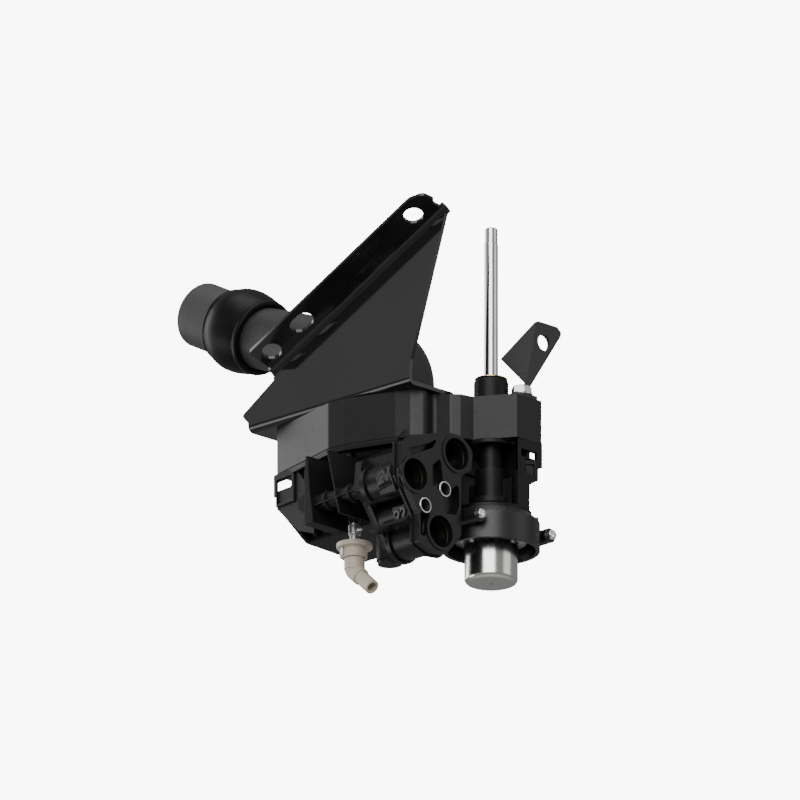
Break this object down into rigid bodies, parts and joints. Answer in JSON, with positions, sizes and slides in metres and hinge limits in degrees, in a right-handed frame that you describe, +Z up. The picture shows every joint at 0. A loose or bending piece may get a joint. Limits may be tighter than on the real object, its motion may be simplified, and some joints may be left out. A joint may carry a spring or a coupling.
{
  "type": "brake valve",
  "caption": "Pushrod-operated dual-circuit air brake valve hung from a folded steel bracket, with rubber air duct, port block and swivelling drain elbow.",
  "frame": {"origin": "pushrod axis at the top face of the housing block, where the boot spigot starts", "axes": "+Z up along the pushrod, +X out of the ports, -Y towards the ribbed front"},
  "size_m": [0.3328, 0.1642, 0.2933],
  "materials": {
    "bracket_black": "semi-gloss black coated steel sheet",
    "bracket_grey": "dark coated steel sheet",
    "housing_black": "satin moulded black plastic",
    "lower_black": "fine-textured black glass-filled plastic",
    "port_black": "fine-textured black glass-filled plastic",
    "barrel_black": "satin moulded black plastic",
    "rubber_black": "moulded black rubber",
    "duct_grey": "matte dark moulded rubber",
    "seal_rubber": "black rubber seal",
    "rod_chrome": "hard-chromed ground steel",
    "zinc_steel": "bright zinc-plated steel",
    "can_steel": "satin deep-drawn steel",
    "spring_steel": "spring steel wire",
    "piston_alloy": "turned aluminium",
    "bronze": "bearing bronze",
    "brass_ring": "thin brass",
    "poppet_rubber": "moulded valve plastic",
    "foam_grey": "knitted silencer packing",
    "tan_plastic": "tan moulded plastic",
    "clear_plastic": "milky clear plastic"
  },
  "bodies": {
    "housing": {"mounting_bracket": "bracket_black", "side_bracket": "bracket_grey", "bracket_bolts": "zinc_steel", "upper_housing": "housing_black", "silencer_element": "foam_grey", "housing_seal": "seal_rubber", "lower_housing": "lower_black", "port_block": "port_black", "port_sleeves": "zinc_steel", "port_seals": "seal_rubber", "delivery_seats": "brass_ring", "poppet_spring_21": "spring_steel", "poppet_spring_22": "spring_steel", "cylinder_caps": "port_black", "transfer_pipe": "rubber_black", "guide_collar": "barrel_black", "guide_bush": "bronze", "collar_washer": "brass_ring", "cover_bolt": "zinc_steel", "barrel": "barrel_black", "return_spring": "spring_steel", "skirt_ring": "barrel_black", "clamp_bolts": "zinc_steel", "clamp_nuts": "zinc_steel", "end_can": "can_steel", "can_screws": "zinc_steel", "duct_elbow": "duct_grey", "duct_sleeve": "rubber_black", "mouth_pipe": "duct_grey", "duct_clamp": "zinc_steel", "drain_hose": "rubber_black", "test_nipple": "rod_chrome", "drain_collar": "tan_plastic", "drain_clip": "clear_plastic"},
    "rod": {"pushrod": "rod_chrome", "plunger": "piston_alloy"},
    "primary": {"primary_piston": "piston_alloy", "piston_ring": "seal_rubber", "graduating_spring": "spring_steel"},
    "relay": {"relay_piston": "piston_alloy", "relay_ring": "seal_rubber"},
    "valve_21": {"poppet_21": "poppet_rubber"},
    "valve_22": {"poppet_22": "poppet_rubber"},
    "outlet": {"drain_elbow": "tan_plastic"}
  },
  "joints": [
    {"name": "pushrod_slide", "type": "slide", "parent": "housing", "child": "rod", "axis": [0, 0, -1], "range_m": [0, 0.012], "stiffness_N_per_m": 2500, "springref_m": -0.002, "deforming": ["graduating_spring"]},
    {"name": "primary_slide", "type": "slide", "parent": "housing", "child": "primary", "axis": [0, 0, -1], "range_m": [0, 0.004]},
    {"name": "relay_slide", "type": "slide", "parent": "housing", "child": "relay", "axis": [0, 0, -1], "range_m": [0, 0.003], "deforming": ["return_spring"]},
    {"name": "valve_21_slide", "type": "slide", "parent": "housing", "child": "valve_21", "axis": [-1, 0, 0], "range_m": [0, 0.0025], "deforming": ["poppet_spring_21"]},
    {"name": "valve_22_slide", "type": "slide", "parent": "housing", "child": "valve_22", "axis": [-1, 0, 0], "range_m": [0, 0.0025], "deforming": ["poppet_spring_22"]},
    {"name": "drain_swivel", "type": "hinge", "parent": "housing", "child": "outlet", "pos_m": [-0.078, -0.06, -0.11], "axis": [0, 0, 1], "continuous": true}
  ],
  "couplings": [
    {"joint": "primary_slide", "follows": "pushrod_slide", "ratio": 0.33333},
    {"joint": "relay_slide", "follows": "pushrod_slide", "ratio": 0.25},
    {"joint": "valve_21_slide", "follows": "pushrod_slide", "ratio": 0.2083},
    {"joint": "valve_22_slide", "follows": "pushrod_slide", "ratio": 0.2083}
  ]
}
